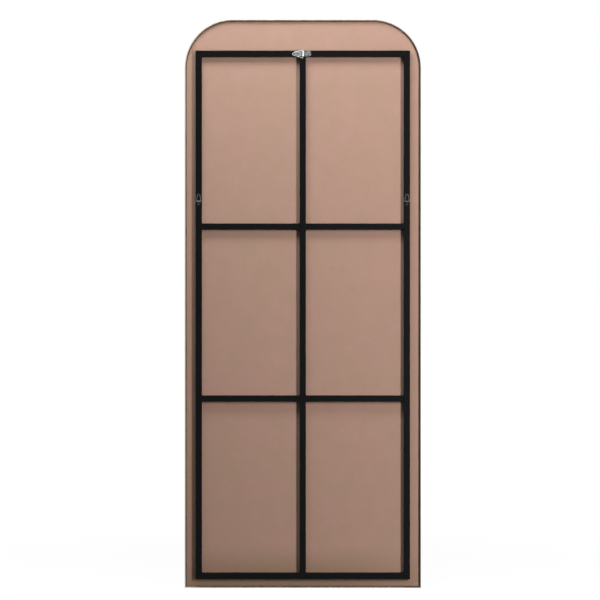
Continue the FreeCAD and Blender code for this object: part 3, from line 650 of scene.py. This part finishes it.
def copy_to(piece, place, turn):
    """A copy of a piece with its own mesh, turned about the Y axis and moved to a place."""
    deselect()
    piece.select_set(True)
    bpy.context.view_layer.objects.active = piece
    bpy.ops.object.duplicate(linked=False)
    copy = bpy.context.object
    copy.rotation_euler = (0.0, turn, 0.0)
    copy.location = place
    bpy.ops.object.transform_apply(location=True, rotation=True, scale=False)
    return copy


def join(pieces, name):
    """Several copies as one piece with a name."""
    deselect()
    for piece in pieces:
        piece.select_set(True)
    bpy.context.view_layer.objects.active = pieces[0]
    if len(pieces) > 1:
        bpy.ops.object.join()
    joined = bpy.context.object
    joined.name = name
    joined.data.name = name
    return joined


def draw_out(x=0.0, y=0.0, z=0.0):
    """Extrude what is selected by a distance along each axis."""
    bpy.ops.mesh.extrude_region_move(TRANSFORM_OT_translate={"value": (x, y, z)})


def finish_piece(piece, material, crease):
    """Smooth a modelled piece up to a crease angle, give it its finish and fix it to the mirror."""
    deselect()
    piece.select_set(True)
    bpy.context.view_layer.objects.active = piece
    bpy.ops.object.shade_smooth_by_angle(angle=math.radians(crease))
    piece.data.materials.clear()
    piece.data.materials.append(material)
    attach(piece, FIXED_BODY)


def remove(piece):
    """Take a pattern piece away once it has been copied."""
    deselect()
    piece.select_set(True)
    bpy.ops.object.delete()


def draw_section(sizes, low, high):
    """The frame's L section as one face, lying at the left foot of the hoop."""
    inner = low.x + sizes.frame_wall
    lip_back = low.y + sizes.lip_thickness
    deselect()
    middle = ((low.x + inner) / 2, (low.y + lip_back) / 2, low.z)
    bpy.ops.mesh.primitive_plane_add(size=1.0, location=middle)
    section = bpy.context.object
    section.scale = (sizes.frame_wall, sizes.lip_thickness, 1.0)
    bpy.ops.object.transform_apply(location=True, rotation=False, scale=True)
    edit(section)
    pick(section, lambda spot: near(spot.y, lip_back))
    draw_out(y=high.y - lip_back)
    pick(section, lambda spot: near(spot.x, inner) and spot.y < lip_back + NEAR)
    draw_out(x=sizes.lip_width - sizes.frame_wall)
    bpy.ops.mesh.select_all(action="SELECT")
    bpy.ops.mesh.dissolve_limited(angle_limit=math.radians(FLAT_CREASE))
    for x, y, offset, segments in (
        (low.x, low.y, sizes.front_round, sizes.round_steps),
        (inner, high.y, sizes.back_chamfer, 1),
        (low.x, high.y, sizes.edge_ease, sizes.ease_steps),
        (low.x + sizes.lip_width, low.y, sizes.edge_ease, sizes.ease_steps),
    ):
        pick(section, lambda spot: near(spot.x, x) and near(spot.y, y))
        bpy.ops.mesh.bevel(offset_type="ABSOLUTE", offset=offset, segments=segments, affect="VERTICES")
    return section


def model_hoop(sizes):
    """The frame's bent angle: drawn up one side, round two corners and down the other, its feet mitred."""
    low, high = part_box("frame_hoop")
    hoop = draw_section(sizes, low, high)
    radius = sizes.corner_radius
    shoulder = high.z - radius
    bend = {"steps": sizes.corner_steps, "angle": math.pi / 2, "axis": (0.0, -1.0, 0.0)}
    bpy.ops.mesh.select_all(action="SELECT")
    draw_out(z=shoulder - low.z)
    bpy.ops.mesh.spin(center=(low.x + radius, 0.0, shoulder), **bend)
    draw_out(x=high.x - low.x - 2 * radius)
    bpy.ops.mesh.spin(center=(high.x - radius, 0.0, shoulder), **bend)
    draw_out(z=low.z - shoulder)
    for side, foot in ((-1, low.x), (1, high.x)):
        inner = abs(foot) - sizes.lip_width
        pick(hoop, lambda spot: spot.x * side > inner - NEAR and spot.z < shoulder + NEAR)
        bpy.ops.mesh.bisect(
            plane_co=(foot, 0.0, low.z), plane_no=(side, 0.0, 1.0), use_fill=True, clear_inner=True
        )
    bpy.ops.mesh.select_all(action="SELECT")
    bpy.ops.mesh.remove_doubles(threshold=NEAR)
    leave_edit()
    return hoop


class MIRROR_OT_frame(bpy.types.Operator):
    """Bend the frame's hoop and give it and the sill their antique bronze finish"""

    bl_idname = "mirror.frame"
    bl_label = "Frame"

    def execute(self, context):
        bronze = antique_bronze(context.scene.mirror_finishes)
        dress(("frame_sill",), bronze)
        hoop = join([model_hoop(context.scene.mirror_sizes)], "bronze_hoop")
        finish_piece(hoop, bronze, FRAME_CREASE)
        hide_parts("frame_hoop")
        return {"FINISHED"}


class MIRROR_OT_glass(bpy.types.Operator):
    """Silver the glass and finish the tapes and blocks round it"""

    bl_idname = "mirror.glass"
    bl_label = "Glass, tapes and blocks"

    def execute(self, context):
        finishes = context.scene.mirror_finishes
        dress(("mirror_glass",), silvered_glass(finishes))
        dress(TAPE_NODES, foam_tape(finishes))
        dress(("setting_blocks",), block_rubber(finishes))
        return {"FINISHED"}


class MIRROR_OT_board(bpy.types.Operator):
    """Finish the fibreboard back"""

    bl_idname = "mirror.board"
    bl_label = "Board"

    def execute(self, context):
        dress(("backing_board",), fibreboard(context.scene.mirror_finishes))
        return {"FINISHED"}


def joint_corners():
    """The inner corners of the grid where a bead runs front to back: places and the way each corner opens."""
    for name in CROSS_NODES:
        low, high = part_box(name)
        for x, opens_x in ((low.x, 1), (high.x, -1)):
            yield x, low.z, opens_x, -1
            yield x, high.z, opens_x, 1
    low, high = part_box("centre_rail")
    for x, opens_x in ((low.x, -1), (high.x, 1)):
        yield x, low.z, opens_x, 1
        yield x, high.z, opens_x, -1
    left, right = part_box("side_rail_left")[1].x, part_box("side_rail_right")[0].x
    for x, opens_x in ((left, 1), (right, -1)):
        yield x, low.z, opens_x, 1
        yield x, high.z, opens_x, -1


def model_bead(sizes, depth):
    """One weld bead along Y about the origin: a round bar drawn in between its ripples."""
    deselect()
    bpy.ops.mesh.primitive_cylinder_add(
        vertices=sizes.bead_sides, radius=sizes.bead_radius, depth=depth, rotation=(math.pi / 2, 0.0, 0.0)
    )
    bead = bpy.context.object
    bpy.ops.object.transform_apply(location=False, rotation=True, scale=False)
    edit(bead)
    pick_edges(bead, lambda start, end: abs(start.y - end.y) > depth / 2)
    rings = 2 * sizes.bead_ripples
    bpy.ops.mesh.subdivide(number_cuts=rings - 1)
    bpy.ops.mesh.select_mode(type="VERT")
    spacing = depth / rings
    for ring in range(rings + 1):
        at = ring * spacing - depth / 2
        pick(bead, lambda spot: abs(spot.y - at) < spacing / 4)
        end = ring in (0, rings)
        size = 1 - 2 * sizes.bead_draw if end else 1 - sizes.bead_draw * ((ring + 1) % 2)
        bpy.ops.transform.resize(value=(size, 1.0, size))
        sway = sizes.bead_radius * sizes.bead_draw * math.sin(sizes.bead_sway * ring)
        bpy.ops.transform.translate(value=(sway, 0.0, -sway / 2))
    leave_edit()
    apply_modifier(bead, "SUBSURF", levels=1, render_levels=1)
    return bead


class MIRROR_OT_rails(bpy.types.Operator):
    """Coat the tube grid and weld its joints"""

    bl_idname = "mirror.rails"
    bl_label = "Tube grid and welds"

    def execute(self, context):
        sizes = context.scene.mirror_sizes
        coat = powder_coat(context.scene.mirror_finishes)
        dress(UPRIGHT_NODES + CROSS_NODES + END_RAIL_NODES, coat)
        low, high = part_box("centre_rail")
        depth = high.y - low.y - 2 * sizes.bead_end_gap
        bead = model_bead(sizes, depth)
        beads = []
        for count, (x, z, opens_x, opens_z) in enumerate(joint_corners()):
            place = (x + opens_x * sizes.bead_sink, (low.y + high.y) / 2, z + opens_z * sizes.bead_sink)
            beads.append(copy_to(bead, place, count * math.pi / 2))
        remove(bead)
        finish_piece(join(beads, "grid_welds"), coat, BEAD_CREASE)
        return {"FINISHED"}


def model_screw(sizes, node):
    """A pan-head screw along Y, its seat at the origin: domed head, cross recess, thread and point."""
    low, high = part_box(node)
    head_radius = (high.z - low.z) / 2
    head_height = sizes.head_height
    shank = high.y - head_height - low.y
    deselect()
    bpy.ops.mesh.primitive_cylinder_add(
        vertices=sizes.head_sides,
        radius=head_radius,
        depth=head_height,
        location=(0.0, head_height / 2, 0.0),
        rotation=(-math.pi / 2, 0.0, 0.0),
    )
    screw = bpy.context.object
    bpy.ops.object.transform_apply(location=True, rotation=True, scale=False)
    edit(screw)
    pick_edges(screw, lambda start, end: near(start.y, head_height) and near(end.y, head_height))
    bpy.ops.mesh.bevel(offset=sizes.head_dome, segments=sizes.dome_steps, profile=0.5, affect="EDGES")
    bpy.ops.mesh.select_mode(type="VERT")
    pick(screw, lambda spot: near(spot.y, 0.0))
    bpy.ops.mesh.inset(thickness=head_radius - sizes.screw_core / 2)
    draw_out(y=-sizes.screw_neck)
    turns = int((shank - sizes.screw_tip) / sizes.screw_pitch)
    step = -(shank - sizes.screw_tip - sizes.screw_neck) / turns / 2
    crest = sizes.screw_crest / sizes.screw_core
    for _ in range(turns):
        for size in (crest, 1 / crest):
            draw_out(y=step)
            bpy.ops.transform.resize(value=(size, 1.0, size))
    draw_out(y=-sizes.screw_tip)
    bpy.ops.transform.resize(value=(sizes.tip_share, 1.0, sizes.tip_share))
    leave_edit()
    cut_cross(screw, sizes, head_height)
    return screw


def cut_cross(screw, sizes, head_height):
    """Sink a tapered cross into a screw's head."""
    for width, span in ((sizes.slot_width, sizes.slot_span), (sizes.slot_span, sizes.slot_width)):
        deselect()
        bpy.ops.mesh.primitive_cube_add(size=1.0, location=(0.0, head_height, 0.0))
        cutter = bpy.context.object
        cutter.scale = (width, 2 * sizes.slot_depth, span)
        bpy.ops.object.transform_apply(location=True, rotation=False, scale=True)
        edit(cutter)
        pick(cutter, lambda spot: spot.y < head_height)
        bpy.ops.transform.resize(value=(sizes.slot_taper, 1.0, sizes.slot_taper))
        leave_edit()
        apply_modifier(screw, "BOOLEAN", operation="DIFFERENCE", solver="EXACT", object=cutter)
        remove(cutter)


class MIRROR_OT_hangers(bpy.types.Operator):
    """Plate the side hangers and the saddle, and drive in their cross-head screws"""

    bl_idname = "mirror.hangers"
    bl_label = "Hangers and screws"

    def execute(self, context):
        finishes = context.scene.mirror_finishes
        pivot = next(joint["pos_m"][2] for joint in frame["joints"] if joint["name"] == "left_ring_swing")
        drawn = {"spangle": 0.20, "brushed": 0.45}
        dipped = {"spangle": 0.60, "brushed": 0.20, "dull": 0.27}
        ring_foot = {"axis": "Z", "middle": pivot, "reach": 0.0018, "polished": 0.10}
        strap_fold = {"axis": "Z", "middle": pivot, "reach": 0.0016, "polished": 0.16}
        # On the saddle the strip is a painted highlight down the fold, and painted light on the wing where
        # the ring rests
        saddle = {"axis": "X", "middle": 0.0, "reach": 0.0031, "polished": 0.90, "painted_light_wing": 0.26}
        nickel = plated_steel("dull_nickel", finishes, finishes.nickel, dull=0.36, strip=ring_foot, **drawn)
        blacking = plated_steel(
            "blackened_steel", finishes, finishes.blacking, dull=0.40, strip=strap_fold, **drawn
        )
        folded = plated_steel("polished_zinc", finishes, finishes.zinc, strip=saddle, **dipped)
        wire = plated_steel("bright_wire", finishes, finishes.wire, **dipped)
        zinc = plated_steel("bright_zinc", finishes, finishes.zinc, **dipped)
        worn = plated_steel("worn_screw_head", finishes, finishes.worn, spangle=0.30, brushed=0.30, dull=0.34)
        dress(STRAP_NODES, blacking)
        dress(SIDE_RING_NODES, nickel)
        dress(("saddle_plate",), folded)
        dress(("saddle_ring",), wire)
        dress(("rail_screws",), zinc)
        sizes = context.scene.mirror_sizes
        self.drive(sizes, "hanger_screw_left", worn, "hanger_metal")
        self.drive(sizes, "hanger_screw_right", worn, "hanger_metal")
        self.drive(sizes, "saddle_screws", zinc, "saddle_zinc")
        return {"FINISHED"}

    def drive(self, sizes, node, material, slot):
        """Model the screws that stand for a node, each turned to its own angle."""
        low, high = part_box(node)
        screw = model_screw(sizes, node)
        radius = (high.z - low.z) / 2
        copies = []
        for x, turn in zip((low.x + radius, high.x - radius), SCREW_TURNS[node]):
            place = (x, high.y - sizes.head_height, (low.z + high.z) / 2)
            copies.append(copy_to(screw, place, turn))
        remove(screw)
        driven = join(copies, f"cross_{node}")
        finish_piece(driven, material, SCREW_CREASE)
        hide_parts(node)


def add_lamp(stage, name):
    """One of the stage's soft lamps, which the camera doesn't see, turned to face its target."""
    place, target, tint = (Vector(getattr(stage, f"{name}_{part}")) for part in ("place", "target", "tint"))
    deselect()
    bpy.ops.object.light_add(type="AREA", location=place)
    lamp = bpy.context.object
    lamp.name = f"{name}_lamp"
    lamp.rotation_euler = (target - place).to_track_quat("-Z", "Y").to_euler()
    lamp.visible_camera = False
    lamp.data.shape = "RECTANGLE"
    lamp.data.size, lamp.data.size_y = getattr(stage, f"{name}_spread")
    lamp.data.energy = getattr(stage, f"{name}_power")
    lamp.data.color = tint


def ray(finish, kind):
    """One for rays of a kind, such as Camera or Glossy."""
    return Signal(finish, finish.node("ShaderNodeLightPath").outputs[f"Is {kind} Ray"])


def seen_directly(finish):
    """One for rays that show the surroundings: to the camera, in reflections and through glass."""
    return ray(finish, "Camera").larger(ray(finish, "Glossy")).larger(ray(finish, "Transmission"))


class MIRROR_OT_stage(bpy.types.Operator):
    """Set up the floor, the surroundings, the lamps and the camera behind the mirror"""

    bl_idname = "mirror.stage"
    bl_label = "Stage"

    def execute(self, context):
        stage = context.scene.mirror_stage
        self.floor(stage)
        self.surroundings(context.scene, stage)
        for lamp in LAMPS:
            add_lamp(stage, lamp)
        self.camera(context.scene, stage)
        context.scene.view_settings.view_transform = "Standard"
        return {"FINISHED"}

    def floor(self, stage):
        """Pale floor that glows to white away from the mirror and keeps the shadow at its foot."""
        deselect()
        bpy.ops.mesh.primitive_plane_add(size=stage.floor_size, location=(0.0, 0.0, CAD_BOX[0][2]))
        floor = bpy.context.object
        floor.name = "floor"
        material, finish = new_material("pale_floor")
        reach = finish.signal("ShaderNodeVectorMath", {"operation": "LENGTH"}, {"Vector": finish.place()})
        brighter = reach.ramp(stage.glow_start, stage.glow_full) * (1 - stage.floor_near)
        glow = stage.floor_near + brighter
        pale = (stage.floor_pale, stage.floor_pale, stage.floor_pale, 1.0)
        matt = finish.signal("ShaderNodeBsdfDiffuse", None, {"Color": pale}, "BSDF")
        _, behind, _ = finish.parts(finish.place())
        far = (0 - behind).ramp(stage.dark_floor_start, stage.dark_floor_full)
        shade = ray(finish, "Glossy") * far * stage.dark_floor
        shown = finish.mix(glow * seen_directly(finish) * (1 - shade), BLACK, WHITE)
        sockets = {"Color": shown, "Strength": stage.floor_shine}
        shine = finish.signal("ShaderNodeEmission", None, sockets, "Emission")
        both = finish.signal("ShaderNodeAddShader", None, {"Shader": matt, "Shader_001": shine}, "Shader")
        finish.node("ShaderNodeOutputMaterial", None, {"Surface": both})
        floor.data.materials.append(material)

    def surroundings(self, scene, stage):
        """White all round near the horizon, a little greyer overhead, and a weak even light on the mirror."""
        world = bpy.data.worlds.new("studio")
        world.use_nodes = True
        scene.world = world
        finish = Finish(world.node_tree)
        way = finish.signal("ShaderNodeTexCoord", None, None, "Generated")
        aside, behind, up = finish.parts(way)
        mirrored = ray(finish, "Glossy")
        dome = 1 - up.ramp(*OVERHEAD) * stage.dark_above
        dusk = behind.ramp(*BEHIND) * stage.dark_behind
        gloom = aside.ramp(*ASIDE) * stage.dark_aside
        wall = (0 - behind).ramp(*AHEAD) * (1 - up.ramp(*OVER_WALL) * 0.8) * stage.dark_ahead
        room = dome * (1 - mirrored * (dusk + wall)) * (1 - mirrored * gloom)
        seen = seen_directly(finish)
        light = finish.mix(seen * room + (1 - seen) * stage.fill, BLACK, WHITE)
        sky = finish.signal("ShaderNodeBackground", None, {"Color": light, "Strength": 1.0}, "Background")
        finish.node("ShaderNodeOutputWorld", None, {"Surface": sky})

    def camera(self, scene, stage):
        """Camera square on to the back of the mirror."""
        low, high = CAD_BOX
        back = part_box("frame_hoop")[1].y
        reach = stage.camera_distance - back
        deselect()
        bpy.ops.object.camera_add(
            location=(stage.camera_aside, stage.camera_distance, stage.camera_height),
            rotation=(math.pi / 2, 0.0, math.pi),
        )
        camera = bpy.context.object
        camera.name = "photo_camera"
        picture_metres = (high[0] - low[0]) * stage.picture_pixels / stage.frame_pixels
        camera.data.sensor_fit = "HORIZONTAL"
        camera.data.lens = camera.data.sensor_width * reach / picture_metres
        scene.camera = camera


class MIRROR_PT_panel(bpy.types.Panel):
    """Lists the steps that dress the mirror, and their sizes and colours"""

    bl_idname = "MIRROR_PT_panel"
    bl_label = "Full-Length Mirror"
    bl_space_type = "VIEW_3D"
    bl_region_type = "UI"
    bl_category = "Mirror"

    def draw(self, context):
        for step in STEPS:
            self.layout.operator(step.bl_idname)
        for name in ("mirror_sizes", "mirror_finishes", "mirror_stage"):
            group = getattr(context.scene, name)
            box = self.layout.box()
            for key in group.__annotations__:
                box.prop(group, key)


GROUPS = {"mirror_sizes": MirrorSizes, "mirror_finishes": MirrorFinishes, "mirror_stage": MirrorStage}
STEPS = (
    MIRROR_OT_frame,
    MIRROR_OT_glass,
    MIRROR_OT_board,
    MIRROR_OT_rails,
    MIRROR_OT_hangers,
    MIRROR_OT_stage,
)


def register():
    for kind in (*GROUPS.values(), *STEPS, MIRROR_PT_panel):
        bpy.utils.register_class(kind)
    for name, group in GROUPS.items():
        setattr(bpy.types.Scene, name, PointerProperty(type=group))


def unregister():
    for name in GROUPS:
        delattr(bpy.types.Scene, name)
    for kind in reversed((*GROUPS.values(), *STEPS, MIRROR_PT_panel)):
        bpy.utils.unregister_class(kind)


def main():
    register()
    bpy.ops.mirror.frame()
    bpy.ops.mirror.glass()
    bpy.ops.mirror.board()
    bpy.ops.mirror.rails()
    bpy.ops.mirror.hangers()
    bpy.ops.mirror.stage()


if __name__ == "__main__":
    main()
